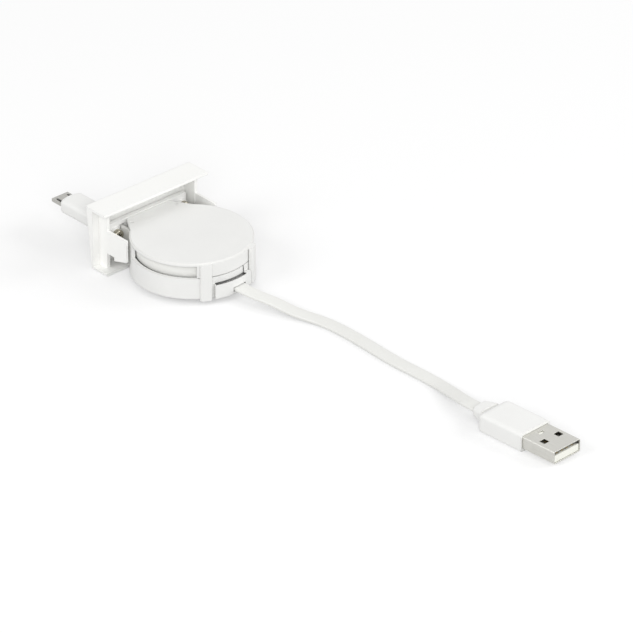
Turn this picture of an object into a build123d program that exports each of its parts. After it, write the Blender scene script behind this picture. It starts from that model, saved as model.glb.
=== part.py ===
from build123d import *
from math import acos, atan2, cos, degrees, hypot, radians, sin, sqrt, tan
import os

# Retractable charging cable in a snap-in front module, in millimetres with +Z up.
# X runs along the module, Y from the small plug in front to the reel's outlet behind.
# The origin lies on the standing surface, midway between the plug's tip and the outlet.

# Front frame
plate_length = 45.0
plate_height = 22.5
plate_depth_top = 3.4
plate_depth_bottom = 1.1
plate_wall = 1.5
plate_top_radius = 1.6
plate_edge_radius = 0.7
skirt_depth = 7.0
skirt_setback = 0.8
skirt_wall = 1.0
end_wall_inset = 2.8
end_wall = 1.3
end_wall_depth = 4.0
arm_clearance = 0.8
arm_wall = 0.9
arm_height = 8.4
arm_drop = 0.45
arm_hook_start = 7.6
arm_hook_drop = 1.4
arm_tip_rise = 0.4
boss_radius = 2.1

# Flat lead: the retractable one, and the wider fixed one
lead_width = 4.4
lead_thickness = 1.1
lead_slot_clearance = 0.45
lead_bend_radius = 6.0
lead_turn_offset = 5.4
fixed_lead_width = 5.0
lead_start_run = 5.2
lead_start_drop = 0.1
lead_end_run = 4.6
lead_fillet_share = 0.45

# Places that the fixed lead passes: across, along from the outlet, and clear of the standing surface
lead_waypoints = [
    (-4.4, 13.0, 2.0),
    (-6.3, 22.0, 0.75),
    (-10.1, 32.0, 0.15),
    (-10.7, 43.0, 0.1),
    (-10.3, 54.5, 0.1),
    (-9.7, 66.0, 0.1),
    (-10.3, 77.5, 0.1),
    (-10.3, 86.0, 0.15),
    (-8.7, 93.6, 1.2),
    (-7.2, 99.9, 2.1),
]

# Reel case
reel_offset = 23.7
reel_radius = 20.5
reel_bottom = 1.8
reel_height = 13.05
case_wall = 1.2
cup_floor = 1.0
cup_height = 7.45
cover_thickness = 1.05
cover_edge = 0.45
cover_seat_gap = 0.1
front_wall_span = 132.0
neck_width = 17.0
lid_width = 18.4
lid_flare = 31.6
flange_side_gap = 1.6
flange_thickness = 1.6
flange_bottom = 4.0
flange_crown = 0.35

# Outlet lip with its vent, cover skirt and the cover's two clips
lip_projection = 1.5
lip_height = 4.95
lip_span = 41.0
lip_wall = 0.35
lip_vent = 1.0
lip_vent_rise = 0.2
lip_vent_left = 19.5
lip_vent_right = 15.0
lip_vent_end = 1.8
outlet_shift = -1.65
outlet_height = 3.45
outlet_pocket = 1.2
outlet_clearance = 0.25
skirt_span = 73.0
skirt_gap = 0.35
clip_angle = 28.2
clip_width = 4.0
clip_thickness = 1.3
clip_clearance = 0.15
clip_edge_radius = 1.0
clip_hook = 1.2
clip_hook_height = 0.4

# Spool with its wound lead, mainspring, lead coil and ball lock
roll_radius = 17.5
roll_drop = 0.55
roll_gap = 0.1
spool_flange = 0.85
spool_flange_radius = 17.9
spool_clearance = 0.3
hub_radius = 8.2
hub_wall = 1.0
sleeve_radius = 4.6
post_radius = 2.2
post_fit = 0.06
arbor_slot = 0.5
lock_disc_thickness = 2.0
lock_disc_fit = 0.08
spring_height = 2.4
spring_thickness = 0.25
spring_pitch = 1.4
spring_half_turns = 6
spring_gap = 0.3
coil_pitch = 4.0
coil_half_turns = 6
coil_gap = 0.3
track_radius = 5.1
track_width = 2.8
track_depth = 0.95
pocket_count = 6
pocket_radius = 0.8
pocket_depth = 0.25
ball_radius = 0.75
ball_clearance = 0.15
ball_lift = 0.05
ball_slot_depth = 0.65
ball_travel = 0.4

# Flange screws
screw_edge = 2.4
screw_radius = 1.1
screw_hole_fit = 0.15
thread_fit = 0.05
screw_depth = 1.3
screw_pad = 1.2
screw_pad_radius = 2.2
screw_head_radius = 2.0
screw_head_height = 1.6
screw_head_edge = 0.8

# Small plug on the retractable lead
plug_to_screw = 3.4
plug_seat_gap = 0.3
plug_recess = 0.9
plug_relief_length = 4.6
plug_relief_width = 3.6
plug_relief_flare = 6.4
plug_relief_corner = 1.0
plug_body_width = 9.0
plug_body_height = 5.0
plug_body_length = 19.6
plug_body_taper = 4.0
plug_body_radius = 1.4
plug_end_bulge = 1.2
plug_shell_width = 6.85
plug_shell_height = 1.8
plug_shell_wall = 0.25
plug_shell_bevel = 0.75
plug_shell_drop = 0.5
plug_shell_reach = 4.4
plug_shell_root = 3.0
plug_shell_fit = 0.05
plug_tongue_height = 0.55
plug_tongue_recess = 0.5
plug_contact_count = 5
plug_contact_pitch = 0.65
plug_contact_width = 0.35
plug_contact_height = 0.15
plug_contact_length = 3.6
plug_contact_recess = 0.9
latch_spacing = 4.6
latch_arm = 0.25
latch_width = 0.6
latch_length = 2.6
latch_rise = 0.3
latch_place = 1.65
latch_clearance = 0.15

# Large plug on the fixed lead
wide_plug_x = -6.56
wide_plug_distance = 109.43
wide_plug_yaw = 3.2
wide_plug_relief_length = 4.0
wide_plug_relief_width = 6.6
wide_plug_relief_height = 4.2
wide_plug_relief_flare = 8.4
wide_plug_relief_rise = 5.0
wide_plug_relief_corner = 1.6
wide_plug_body_width = 13.3
wide_plug_body_height = 6.6
wide_plug_body_length = 19.9
wide_plug_body_corner = 2.8
wide_plug_shoulder_extra = 0.6
wide_plug_body_radius = 1.3
wide_plug_foot_edge = 0.5
wide_plug_shell_width = 12.0
wide_plug_shell_height = 4.5
wide_plug_shell_wall = 0.3
wide_plug_shell_corner = 0.6
wide_plug_shell_reach = 13.7
wide_plug_shell_root = 5.0
wide_plug_shell_fit = 0.05
wide_plug_window = 2.3
wide_plug_window_spacing = 6.5
wide_plug_window_place = 6.9
wide_plug_lock_width = 2.4
wide_plug_lock_length = 1.3
wide_plug_lock_place = 2.4
wide_plug_tongue_height = 2.4
wide_plug_tongue_recess = 0.3
wide_plug_core_reach = 3.4
wide_plug_contact_places = (-3.5, -1.0, 1.0, 3.5)
wide_plug_contact_width = 1.0
wide_plug_contact_length = 7.4
wide_plug_contact_height = 0.2
wide_plug_contact_recess = 1.2


def plate_depth(z):
    """Distance from the plate's back plane forward to its leaning front face."""
    return plate_depth_bottom + (plate_depth_top - plate_depth_bottom) * z / plate_height


# Heights that the pieces share
mid_height = plate_height / 2
arm_top = mid_height - arm_drop + arm_height / 2
arm_bottom = arm_top - arm_height
cover_top = reel_bottom + reel_height
cover_under = cover_top - cover_thickness
wall_top = cover_under - cover_seat_gap
cup_top = reel_bottom + cup_height
floor_top = reel_bottom + cup_floor
roll_bottom = cup_top - roll_drop
spool_bottom = roll_bottom - roll_gap - spool_flange
hub_floor = spool_bottom + spool_flange
hub_top = cover_under - spool_clearance
lock_disc_bottom = hub_top - lock_disc_thickness
lip_top = reel_bottom + lip_height
plug_z = roll_bottom + lead_width / 2
plug_shell_z = plug_z - plug_shell_drop

# Places along X and Y
end_wall_x = plate_length / 2 - end_wall_inset
arm_inner_x = end_wall_x - arm_wall
arm_reach = reel_offset - sqrt(max(0, (reel_radius + arm_clearance) ** 2 - arm_inner_x**2))
flange_width = 2 * (end_wall_x - end_wall - flange_side_gap)
screw_spacing = flange_width - 2 * screw_edge
plug_x = screw_spacing / 2 - plug_to_screw
lid_rear = sqrt(max(0, (reel_radius - case_wall) ** 2 - (lid_flare / 2) ** 2))
lid_reach = reel_offset - flange_thickness - cover_seat_gap - lid_rear
lip_radius = reel_radius + lip_projection
clip_radius = reel_radius + clip_clearance + clip_thickness
recess_depth = plate_depth(plug_z) - plug_recess
front_reach = recess_depth + plug_seat_gap + plug_relief_length + plug_body_length + plug_shell_reach
rear_reach = reel_offset + lip_radius
back = (front_reach - rear_reach) / 2
reel_y = back + reel_offset
lip_y = reel_y + lip_radius
flange_back = back + flange_thickness
pad_back = flange_back + screw_pad
relief_y = back - recess_depth - plug_seat_gap
plug_body_y = relief_y - plug_relief_length
plug_shell_y = plug_body_y - plug_body_length
plug_tip_y = plug_shell_y - plug_shell_reach
plug_root_y = plug_shell_y + plug_shell_root
plug_tongue_top = plug_shell_z - plug_shell_height / 2 + plug_shell_wall + plug_shell_fit + plug_tongue_height
latch_y = plug_shell_y - latch_place
latch_places = [(plug_x + side * latch_spacing / 2, latch_y, plug_shell_z) for side in (-1, 1)]
screw_places = [(side * screw_spacing / 2, back, mid_height) for side in (-1, 1)]

# The retractable lead runs back from the plug, turns, and meets the roll at a tangent.
turn_y = back + lead_turn_offset
tangent_radius = roll_radius + 2 * roll_gap + lead_thickness / 2
turn_bearing = degrees(atan2(turn_y - reel_y, plug_x))
turn_distance = hypot(plug_x, reel_y - turn_y)
tangent_bearing = radians(turn_bearing + degrees(acos(tangent_radius / turn_distance)))
tangent_x = tangent_radius * cos(tangent_bearing)
tangent_y = reel_y + tangent_radius * sin(tangent_bearing)
run_length = hypot(tangent_x - plug_x, tangent_y - turn_y)
run_angle = degrees(atan2(tangent_y - turn_y, tangent_x - plug_x))
run_middle = ((plug_x + tangent_x) / 2, (turn_y + tangent_y) / 2, plug_z)

# The fixed lead's route from the outlet along the standing surface to the large plug.
wide_plug_across = (cos(radians(wide_plug_yaw)), sin(radians(wide_plug_yaw)), 0)
wide_plug_along = (-sin(radians(wide_plug_yaw)), cos(radians(wide_plug_yaw)), 0)
wide_plug_start = (wide_plug_x, lip_y + wide_plug_distance, wide_plug_body_height / 2)
lead_points = [(outlet_shift, lip_y - outlet_pocket, outlet_height)]
lead_points += [(outlet_shift, lip_y + lead_start_run, outlet_height - lead_start_drop)]
lead_points += [(x, lip_y + along, lead_thickness / 2 + lift) for x, along, lift in lead_waypoints]
lead_points += [tuple(Vector(*wide_plug_start) - Vector(*wide_plug_along) * lead_end_run)]
lead_points += [wide_plug_start]

# Planes of the large plug: across its axis, seen from above, and seen from its side
wide_plug_section = Plane(wide_plug_start, x_dir=-Vector(*wide_plug_across), z_dir=wide_plug_along)
wide_plug_plan = Plane(wide_plug_start, x_dir=wide_plug_across, z_dir=(0, 0, 1))
wide_plug_profile = Plane(wide_plug_start, x_dir=wide_plug_along, z_dir=wide_plug_across)
wide_plug_front = wide_plug_relief_length + wide_plug_body_length
wide_plug_shoulder = wide_plug_body_corner + wide_plug_shoulder_extra
wide_plug_core_width = wide_plug_shell_width - 2 * wide_plug_shell_wall - 2 * wide_plug_shell_fit
wide_plug_core_height = wide_plug_shell_height - 2 * wide_plug_shell_wall - 2 * wide_plug_shell_fit
wide_plug_core_corner = wide_plug_shell_corner - wide_plug_shell_wall - wide_plug_shell_fit


def arc_band(inner, outer, middle, span):
    """Sketch of a ring sector, with its middle at an angle from +X."""
    with BuildSketch(mode=Mode.PRIVATE) as band:
        with BuildLine():
            start = middle - span / 2
            low = CenterArc((0, 0), inner, start, span)
            high = CenterArc((0, 0), outer, start, span)
            Line(low @ 0, high @ 0)
            Line(low @ 1, high @ 1)
        make_face()
    return band.sketch


def spiral_band(start_radius, pitch, half_turns, thickness):
    """Sketch of a flat strip wound on edge, as half circles about two centres."""
    half = thickness / 2
    last = half_turns - 1
    end_centre = (last % 2) * pitch / 2
    end_side = 1 if last % 2 else -1
    end_radius = start_radius + last * pitch / 2
    with BuildSketch(mode=Mode.PRIVATE) as band:
        with BuildLine():
            for side in (-half, half):
                for k in range(half_turns):
                    radius = start_radius + k * pitch / 2 + side
                    CenterArc(((k % 2) * pitch / 2, 0), radius, 180 * (k % 2), 180)
            Line((start_radius - half, 0), (start_radius + half, 0))
            Line(
                (end_centre + end_side * (end_radius - half), 0),
                (end_centre + end_side * (end_radius + half), 0),
            )
        make_face()
    return band.sketch


# Front frame: one moulding with a leaning face, two long walls, two end walls and snap arms
with BuildPart() as front_frame:
    with BuildSketch(Plane.YZ):
        with BuildLine():
            Polyline(
                (back + skirt_depth, 0),
                (back - plate_depth_bottom, 0),
                (back - plate_depth_top, plate_height),
                (back + skirt_depth - skirt_setback, plate_height),
                (back + skirt_depth - skirt_setback, plate_height - skirt_wall),
                (back, plate_height - skirt_wall),
                (back, skirt_wall),
                (back + skirt_depth, skirt_wall),
                close=True,
            )
        make_face()
        front_corners = vertices().sort_by(Axis.X)[:2].sort_by(Axis.Y)
        fillet(front_corners[0], plate_edge_radius)
        fillet(front_corners[1], plate_top_radius)
    extrude(amount=plate_length / 2, both=True)
    end_edges = faces().filter_by(Axis.X).edges()
    face_edges = end_edges.filter_by(lambda edge: edge.center().Y < back - plate_edge_radius / 2)
    fillet(face_edges, plate_edge_radius)
    with BuildSketch(Plane.YZ):
        with BuildLine():
            Polyline(
                (back - plate_depth(skirt_wall) + plate_wall, skirt_wall),
                (back - plate_depth(plate_height - skirt_wall) + plate_wall, plate_height - skirt_wall),
                (back + skirt_depth, plate_height - skirt_wall),
                (back + skirt_depth, skirt_wall),
                close=True,
            )
        make_face()
    extrude(amount=end_wall_x - end_wall, both=True, mode=Mode.SUBTRACT)
    with BuildSketch(Plane.YZ.offset(end_wall_x)):
        with Locations((back + end_wall_depth / 2 - plate_depth_bottom / 4, mid_height)):
            Rectangle(end_wall_depth + plate_depth_bottom / 2, plate_height - skirt_wall)
    extrude(amount=-end_wall)
    with BuildSketch(Plane.YZ.offset(end_wall_x)):
        with BuildLine():
            Polyline(
                (back, arm_top),
                (back + arm_reach, arm_top),
                (back + arm_reach, arm_bottom + arm_tip_rise),
                (back + arm_hook_start, arm_bottom - arm_hook_drop),
                (back + arm_hook_start, arm_bottom),
                (back, arm_bottom),
                close=True,
            )
        make_face()
    extrude(amount=-arm_wall)
    mirror(about=Plane.YZ)
    with Locations(*screw_places):
        Cylinder(
            boss_radius,
            plate_depth(mid_height) - plate_wall / 2,
            rotation=(90, 0, 0),
            align=(Align.CENTER, Align.CENTER, Align.MIN),
        )
        Cylinder(
            screw_radius,
            plate_depth(mid_height) - plate_wall / 2,
            rotation=(90, 0, 0),
            align=(Align.CENTER, Align.CENTER, Align.MIN),
            mode=Mode.SUBTRACT,
        )
    with Locations((plug_x, back, plug_z)):
        Box(
            lead_thickness + 2 * lead_slot_clearance,
            2 * plate_depth_top,
            lead_width + 2 * lead_slot_clearance,
            mode=Mode.SUBTRACT,
        )
    with BuildSketch(Plane.XZ.offset(recess_depth - back)):
        with Locations((plug_x, plug_z)):
            RectangleRounded(
                plug_relief_flare + 2 * plug_seat_gap,
                plug_body_height + 2 * plug_seat_gap,
                plug_relief_corner,
            )
    extrude(amount=plate_depth_top, mode=Mode.SUBTRACT)

# Reel base: round cup with the mounting flange, the neck, the outlet lip and the centre post
with BuildPart() as reel_base:
    with Locations((0, reel_y, reel_bottom)):
        Cylinder(reel_radius, cup_height, align=(Align.CENTER, Align.CENTER, Align.MIN))
    with BuildSketch(Plane((0, reel_y, cup_top))):
        add(arc_band(reel_radius - case_wall, reel_radius, -90, front_wall_span))
    extrude(amount=wall_top - cup_top)
    with BuildSketch(Plane((0, reel_y, reel_bottom))):
        add(arc_band(reel_radius - case_wall, lip_radius, 90, lip_span))
    extrude(amount=lip_height)
    with Locations((0, back, flange_bottom)):
        Box(
            flange_width,
            flange_thickness,
            cover_top + flange_crown - flange_bottom,
            align=(Align.CENTER, Align.MIN, Align.MIN),
        )
        Box(
            neck_width,
            reel_offset - reel_radius / 2,
            wall_top - flange_bottom,
            align=(Align.CENTER, Align.MIN, Align.MIN),
        )
    with Locations(*screw_places):
        Cylinder(
            screw_pad_radius,
            pad_back - back,
            rotation=(-90, 0, 0),
            align=(Align.CENTER, Align.CENTER, Align.MIN),
        )
        Cylinder(
            screw_radius + screw_hole_fit,
            pad_back - back,
            rotation=(-90, 0, 0),
            align=(Align.CENTER, Align.CENTER, Align.MIN),
            mode=Mode.SUBTRACT,
        )
    with Locations((0, reel_y, floor_top)):
        Cylinder(
            reel_radius - case_wall,
            cover_top - floor_top,
            align=(Align.CENTER, Align.CENTER, Align.MIN),
            mode=Mode.SUBTRACT,
        )
        Cylinder(
            post_radius,
            hub_top - floor_top,
            align=(Align.CENTER, Align.CENTER, Align.MIN),
        )
    with Locations((0, reel_y, hub_top)):
        Box(
            arbor_slot,
            3 * post_radius,
            hub_top - hub_floor,
            align=(Align.CENTER, Align.CENTER, Align.MAX),
            mode=Mode.SUBTRACT,
        )
    with BuildSketch(Plane((0, reel_y, lip_top + lip_vent_rise))):
        add(
            arc_band(
                reel_radius - 2 * case_wall,
                lip_radius - lip_wall,
                90 + (lip_vent_right - lip_vent_left) / 2,
                lip_vent_right + lip_vent_left,
            )
        )
    extrude(amount=-lip_vent, mode=Mode.SUBTRACT)
    with BuildSketch(Plane((0, reel_y, lip_top))):
        add(
            arc_band(
                reel_radius - 2 * case_wall,
                lip_radius,
                90 + lip_vent_right - lip_vent_end / 2,
                lip_vent_end,
            )
        )
    extrude(amount=cup_top - lip_top, mode=Mode.SUBTRACT)
    with Locations((plug_x, back, plug_z)):
        Box(
            lead_thickness + 2 * lead_slot_clearance,
            2 * lead_turn_offset,
            lead_width + 2 * lead_slot_clearance,
            mode=Mode.SUBTRACT,
        )
    with Locations(Location(run_middle, (0, 0, run_angle))):
        Box(
            run_length,
            lead_thickness + 2 * lead_slot_clearance,
            lead_width + 2 * lead_slot_clearance,
            mode=Mode.SUBTRACT,
        )
    with Locations((outlet_shift, lip_y, outlet_height)):
        Box(
            fixed_lead_width + 2 * outlet_clearance,
            2 * outlet_pocket,
            lead_thickness + 2 * outlet_clearance,
            mode=Mode.SUBTRACT,
        )

# Reel cover: disc with the neck's flared lid, a skirt over the outlet and two clips under the base
with BuildPart() as reel_cover:
    with Locations((0, reel_y, cover_under)):
        Cylinder(reel_radius, cover_thickness, align=(Align.CENTER, Align.CENTER, Align.MIN))
    chamfer(faces().sort_by(Axis.Z)[-1].edges(), cover_edge)
    with BuildSketch(Plane((0, reel_y, cover_under))):
        add(arc_band(reel_radius - case_wall, reel_radius, 90, skirt_span))
    extrude(amount=-(cover_under - cup_top - skirt_gap))
    with BuildSketch(Plane((0, flange_back + cover_seat_gap, cover_under))):
        with BuildLine():
            Polyline(
                (-lid_width / 2, 0),
                (-lid_flare / 2, lid_reach),
                (lid_flare / 2, lid_reach),
                (lid_width / 2, 0),
                close=True,
            )
        make_face()
    extrude(amount=cover_thickness)
    with BuildSketch(Plane((0, reel_y, reel_bottom - clip_hook_height))):
        with PolarLocations(clip_radius, 2, 90 - clip_angle, 4 * clip_angle):
            Rectangle(clip_thickness, clip_width, align=(Align.MAX, Align.CENTER))
    extrude(amount=cover_top - cover_edge - reel_bottom + clip_hook_height)
    with BuildSketch(Plane((0, reel_y, cover_under))):
        with PolarLocations(clip_radius, 2, 90 - clip_angle, 4 * clip_angle):
            Rectangle(clip_radius - reel_radius + case_wall, clip_width, align=(Align.MAX, Align.CENTER))
    extrude(amount=cover_thickness - cover_edge)
    with BuildSketch(Plane((0, reel_y, reel_bottom - clip_hook_height))):
        with PolarLocations(clip_radius, 2, 90 - clip_angle, 4 * clip_angle):
            Rectangle(clip_radius - reel_radius + clip_hook, clip_width, align=(Align.MAX, Align.CENTER))
    extrude(amount=clip_hook_height - cover_seat_gap)
    clip_edges = edges().filter_by(Axis.Z).filter_by(
        lambda edge: hypot(edge.center().X, edge.center().Y - reel_y) > clip_radius
    )
    fillet(clip_edges, clip_edge_radius)
    with Locations((track_radius, reel_y, cover_under)):
        Box(
            2 * (ball_radius + ball_clearance + ball_travel),
            2 * (ball_radius + ball_clearance),
            ball_slot_depth,
            align=(Align.CENTER, Align.CENTER, Align.MIN),
            mode=Mode.SUBTRACT,
        )

# Flange screws: two pan heads that hold the reel to the front frame's bosses
with BuildPart() as flange_screws:
    for x, _, z in screw_places:
        with BuildSketch(Plane.XZ.offset(-pad_back)):
            with Locations((x, z)):
                Circle(screw_radius - thread_fit)
        extrude(amount=pad_back - back + screw_depth)
        with BuildSketch(Plane.XZ.offset(-pad_back)):
            with Locations((x, z)):
                Circle(screw_head_radius)
        extrude(amount=-screw_head_height)
    head_rims = edges().filter_by(GeomType.CIRCLE).group_by(Axis.Y)[-1]
    chamfer(head_rims, screw_head_edge)

# Spool: flanged drum with a spring well and a long sleeve that turns on the centre post
with BuildPart() as spool:
    with BuildSketch(Plane.XZ.offset(-reel_y)):
        with BuildLine():
            Polyline(
                (post_radius + post_fit, floor_top + spool_clearance),
                (sleeve_radius, floor_top + spool_clearance),
                (sleeve_radius, spool_bottom),
                (spool_flange_radius, spool_bottom),
                (spool_flange_radius, hub_floor),
                (hub_radius, hub_floor),
                (hub_radius, hub_top),
                (hub_radius - hub_wall, hub_top),
                (hub_radius - hub_wall, hub_floor),
                (post_radius + post_fit, hub_floor),
                close=True,
            )
        make_face()
    revolve(axis=Axis((0, reel_y, 0), (0, 0, 1)))

# Lock disc: closes the spring well and carries the ball's track with its stop pockets
with BuildPart() as lock_disc:
    with Locations((0, reel_y, lock_disc_bottom)):
        Cylinder(
            hub_radius - hub_wall - lock_disc_fit,
            lock_disc_thickness,
            align=(Align.CENTER, Align.CENTER, Align.MIN),
        )
        Cylinder(
            post_radius + post_fit,
            lock_disc_thickness,
            align=(Align.CENTER, Align.CENTER, Align.MIN),
            mode=Mode.SUBTRACT,
        )
    with BuildSketch(Plane((0, reel_y, hub_top))):
        Circle(track_radius + track_width / 2)
        Circle(track_radius - track_width / 2, mode=Mode.SUBTRACT)
        with PolarLocations(track_radius + track_width / 2 + pocket_depth - pocket_radius, pocket_count):
            Circle(pocket_radius)
    extrude(amount=-track_depth, mode=Mode.SUBTRACT)

# Lock ball: runs in the lock disc's track and slides in the cover's slot
with BuildPart() as lock_ball:
    with Locations((track_radius, reel_y, hub_top - track_depth + ball_lift + ball_radius)):
        Sphere(ball_radius)

# Mainspring: flat steel strip wound between the centre post and the spool's well
with BuildPart() as mainspring:
    with BuildSketch(Plane((0, reel_y, hub_floor + roll_gap))):
        add(
            spiral_band(
                post_radius + spring_gap + spring_thickness / 2,
                spring_pitch,
                spring_half_turns,
                spring_thickness,
            )
        )
    extrude(amount=spring_height)

# Wound lead: the retracted turns of flat lead on the spool, as one roll
with BuildPart() as wound_lead:
    with Locations((0, reel_y, roll_bottom)):
        Cylinder(roll_radius, lead_width, align=(Align.CENTER, Align.CENTER, Align.MIN))
        Cylinder(
            hub_radius + roll_gap,
            lead_width,
            align=(Align.CENTER, Align.CENTER, Align.MIN),
            mode=Mode.SUBTRACT,
        )

# Lead coil: open turns under the spool that join the turning lead to the fixed one
with BuildPart() as lead_coil:
    with BuildSketch(Plane((0, reel_y, floor_top))):
        add(
            spiral_band(
                sleeve_radius + coil_gap + lead_thickness / 2,
                coil_pitch,
                coil_half_turns,
                lead_thickness,
            )
        )
    extrude(amount=lead_width)

# Retractable lead: the stretch from the roll through the flange and plate to the small plug
with BuildPart() as plug_lead:
    with BuildLine() as plug_route:
        FilletPolyline(
            (plug_x, relief_y, plug_z),
            (plug_x, turn_y, plug_z),
            (tangent_x, tangent_y, plug_z),
            radius=lead_bend_radius,
        )
    with BuildSketch(Plane.XZ.offset(-relief_y)):
        with Locations((plug_x, plug_z)):
            Rectangle(lead_thickness, lead_width)
    sweep(path=plug_route.wire())

# Small plug's strain relief: flexible boot that seats in the plate's recess
with BuildPart() as plug_relief:
    with BuildSketch(Plane((plug_x, plug_body_y, plug_z - plug_body_height / 2))):
        with BuildLine():
            Polyline(
                (-plug_relief_flare / 2, 0),
                (-plug_relief_width / 2, plug_relief_length),
                (plug_relief_width / 2, plug_relief_length),
                (plug_relief_flare / 2, 0),
                close=True,
            )
        make_face()
    extrude(amount=plug_body_height)
    relief_rims = faces().sort_by(Axis.Z)[0].edges() + faces().sort_by(Axis.Z)[-1].edges()
    fillet(relief_rims.filter_by(Axis.X, reverse=True), plug_relief_corner)

# Outline of the small plug's folded shell, flat on top and bevelled below
with BuildSketch() as plug_shell_outline:
    with BuildLine():
        half_width = plug_shell_width / 2
        half_height = plug_shell_height / 2
        Polyline(
            (-half_width, half_height),
            (half_width, half_height),
            (half_width, -half_height + plug_shell_bevel),
            (half_width - plug_shell_bevel, -half_height),
            (-half_width + plug_shell_bevel, -half_height),
            (-half_width, -half_height + plug_shell_bevel),
            close=True,
        )
    make_face()

# Small plug's overmoulded body: a tapered grip with a bowed front end
with BuildPart() as plug_body:
    with BuildSketch(Plane((plug_x, plug_shell_y, plug_z - plug_body_height / 2))):
        with BuildLine():
            half_grip = plug_body_width / 2
            half_tail = plug_relief_flare / 2
            Polyline(
                (-half_grip, plug_end_bulge),
                (-half_grip, plug_body_length - plug_body_taper),
                (-half_tail, plug_body_length),
                (half_tail, plug_body_length),
                (half_grip, plug_body_length - plug_body_taper),
                (half_grip, plug_end_bulge),
            )
            ThreePointArc((half_grip, plug_end_bulge), (0, 0), (-half_grip, plug_end_bulge))
        make_face()
        fillet(vertices().group_by(Axis.Y)[0], plug_body_radius)
    extrude(amount=plug_body_height)
    rim_edges = (faces().sort_by(Axis.Z)[0].edges() + faces().sort_by(Axis.Z)[-1].edges()).filter_by(
        lambda edge: edge.center().Y < plug_body_y - plug_body_taper / 4
    )
    fillet(rim_edges, plug_body_radius)
    with BuildSketch(Plane.XZ.offset(-plug_shell_y)):
        with Locations((plug_x, plug_shell_z)):
            add(plug_shell_outline.sketch)
        offset(amount=plug_shell_fit, kind=Kind.INTERSECTION)
    extrude(amount=-plug_shell_root, mode=Mode.SUBTRACT)

# Small plug's shell: folded plated sheet with two slots for the latches in its top
with BuildPart() as plug_shell:
    with BuildSketch(Plane.XZ.offset(-plug_root_y)):
        with Locations((plug_x, plug_shell_z)):
            add(plug_shell_outline.sketch)
    extrude(amount=plug_root_y - plug_tip_y)
    with BuildSketch(Plane.XZ.offset(-plug_root_y)):
        with Locations((plug_x, plug_shell_z)):
            add(plug_shell_outline.sketch)
        offset(amount=-plug_shell_wall, kind=Kind.INTERSECTION)
    extrude(amount=plug_root_y - plug_tip_y, mode=Mode.SUBTRACT)
    with Locations(*latch_places):
        Box(
            latch_width + 2 * latch_clearance,
            latch_length + 2 * latch_clearance,
            plug_shell_height,
            align=(Align.CENTER, Align.CENTER, Align.MIN),
            mode=Mode.SUBTRACT,
        )

# Small plug's tongue: insulator along the lower half of the shell
with BuildPart() as plug_tongue:
    with BuildSketch(Plane.XZ.offset(-plug_root_y)):
        with Locations((plug_x, plug_shell_z)):
            add(plug_shell_outline.sketch)
        offset(amount=-plug_shell_wall - plug_shell_fit, kind=Kind.INTERSECTION)
        with Locations((plug_x, plug_tongue_top)):
            Rectangle(
                plug_shell_width,
                plug_shell_height,
                align=(Align.CENTER, Align.MIN),
                mode=Mode.SUBTRACT,
            )
    extrude(amount=plug_root_y - plug_tip_y - plug_tongue_recess)

# Small plug's contacts: gilded strips along the top of the tongue
with BuildPart() as plug_contacts:
    with BuildSketch(Plane((plug_x, plug_tip_y + plug_contact_recess, plug_tongue_top))):
        with GridLocations(plug_contact_pitch, 1, plug_contact_count, 1):
            Rectangle(plug_contact_width, plug_contact_length, align=(Align.CENTER, Align.MIN))
    extrude(amount=plug_contact_height)

# Small plug's latches: spring arms beside the contacts, hooked up through the shell's slots
with BuildPart() as plug_latches:
    for x, y, z in latch_places:
        with BuildSketch(Plane.YZ.offset(x)):
            with BuildLine():
                Polyline(
                    (plug_root_y, plug_tongue_top),
                    (plug_root_y, plug_tongue_top + latch_arm),
                    (y + latch_length / 2, plug_tongue_top + latch_arm),
                    (y + latch_length / 2, z + plug_shell_height / 2 + latch_rise),
                    (y - latch_length / 2, z + plug_shell_height / 2),
                    (y - latch_length / 2, plug_tongue_top),
                    close=True,
                )
            make_face()
        extrude(amount=latch_width / 2, both=True)

# Fixed lead: flat lead from the outlet along the standing surface to the large plug
lead_radii = []
for before, corner, after in zip(lead_points, lead_points[1:], lead_points[2:]):
    run_in = Vector(*corner) - Vector(*before)
    run_out = Vector(*after) - Vector(*corner)
    half_turn = radians(run_in.get_angle(run_out)) / 2
    lead_radii.append(lead_fillet_share * min(run_in.length, run_out.length) / tan(half_turn))
with BuildLine() as lead_upright:
    FilletPolyline(*[(x, y, z + fixed_lead_width) for x, y, z in lead_points], radius=lead_radii)
with BuildPart() as fixed_lead:
    with BuildLine() as lead_route:
        FilletPolyline(*lead_points, radius=lead_radii)
    with BuildSketch(Plane(lead_points[0], x_dir=(-1, 0, 0), z_dir=(0, 1, 0))):
        Rectangle(fixed_lead_width, lead_thickness)
    sweep(path=lead_route.wire(), binormal=lead_upright.wire())

# Large plug's strain relief: flexible boot that flares towards the body
with BuildPart() as wide_plug_relief:
    with BuildSketch(wide_plug_section):
        RectangleRounded(wide_plug_relief_width, wide_plug_relief_height, wide_plug_relief_corner)
    with BuildSketch(wide_plug_section.offset(wide_plug_relief_length)):
        RectangleRounded(wide_plug_relief_flare, wide_plug_relief_rise, wide_plug_relief_corner)
    loft()

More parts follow.
